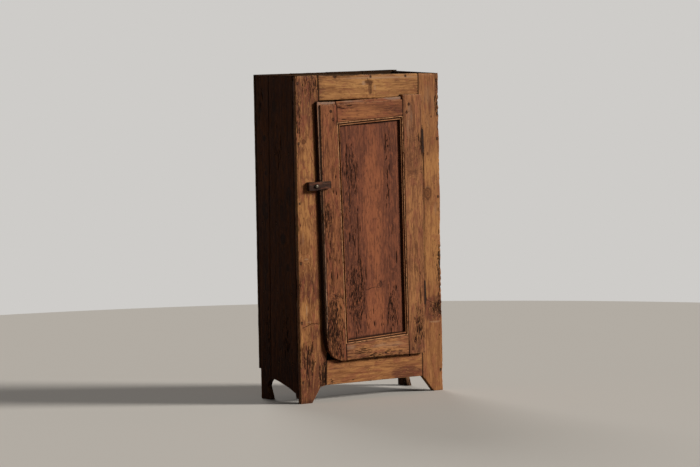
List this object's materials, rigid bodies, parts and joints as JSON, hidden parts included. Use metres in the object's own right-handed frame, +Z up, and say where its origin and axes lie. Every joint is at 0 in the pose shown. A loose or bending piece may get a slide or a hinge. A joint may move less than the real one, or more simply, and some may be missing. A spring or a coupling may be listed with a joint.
{
  "type": "jelly cupboard",
  "caption": "Free-standing country cupboard in waxed pine: nailed carcase with shelves, face frame on cut-out feet, and one framed, panelled door held by a wooden turn button.",
  "frame": {"origin": "on the floor, under the middle of the whole cupboard with its door and button", "axes": "+Z up, the front towards -Y, +X to the right seen from the front"},
  "size_m": [0.6658, 0.3114, 1.2345],
  "materials": {
    "pine_side": "waxed, satin, dark brown old pine",
    "pine_frame": "waxed, satin, honey-coloured old pine with knots and worm",
    "pine_inside": "unfinished dry pine, matt",
    "pine_back": "rough unfinished pine, matt, greyed",
    "pine_door": "waxed, satin, reddish old pine with heavy worm",
    "pine_panel": "waxed, satin, purplish brown old pine, lighter down the middle",
    "peg_wood": "dark end grain",
    "button_wood": "dark handled hardwood, satin",
    "wrought_iron": "forged, dark and a little rusty",
    "nail_iron": "rusted cut nails",
    "screw_steel": "dull worn steel"
  },
  "bodies": {
    "cabinet": {"side_left_front": "pine_side", "side_left_rear": "pine_side", "side_right_front": "pine_side", "side_right_rear": "pine_side", "top_board": "pine_side", "stile_left": "pine_frame", "stile_right": "pine_frame", "frame_rail_top": "pine_frame", "frame_rail_bottom": "pine_frame", "bottom_board": "pine_inside", "shelf_lower": "pine_inside", "shelf_middle": "pine_inside", "shelf_upper": "pine_inside", "batten_left_1": "pine_inside", "batten_left_2": "pine_inside", "batten_left_3": "pine_inside", "batten_left_4": "pine_inside", "batten_right_1": "pine_inside", "batten_right_2": "pine_inside", "batten_right_3": "pine_inside", "batten_right_4": "pine_inside", "back_board_1": "pine_back", "back_board_2": "pine_back", "back_board_3": "pine_back", "back_board_4": "pine_back", "hinge_upper_frame_leaf": "wrought_iron", "hinge_upper_pin": "wrought_iron", "hinge_lower_frame_leaf": "wrought_iron", "hinge_lower_pin": "wrought_iron", "frame_nails": "nail_iron", "back_nails": "nail_iron", "side_nails": "nail_iron", "batten_nails": "nail_iron", "hinge_frame_screws": "screw_steel", "button_screw": "screw_steel"},
    "door": {"door_stile_lock": "pine_door", "door_stile_hinge": "pine_door", "door_rail_top": "pine_door", "door_rail_bottom": "pine_door", "door_panel": "pine_panel", "moulding_top": "pine_door", "moulding_bottom": "pine_door", "moulding_lock_side": "pine_door", "moulding_hinge_side": "pine_door", "door_pegs": "peg_wood", "hinge_upper_door_leaf": "wrought_iron", "hinge_lower_door_leaf": "wrought_iron", "hinge_door_screws": "screw_steel"},
    "button": {"turn_button": "button_wood"}
  },
  "joints": [
    {"name": "door_hinge", "type": "hinge", "parent": "cabinet", "child": "door", "pos_m": [0.2414, -0.1357, 0.6], "axis": [0, 0, 1], "range_deg": [0, 170]},
    {"name": "button_pivot", "type": "hinge", "parent": "cabinet", "child": "button", "pos_m": [-0.2605, -0.1407, 0.808], "axis": [0, 1, 0], "range_deg": [-90, 90]}
  ]
}
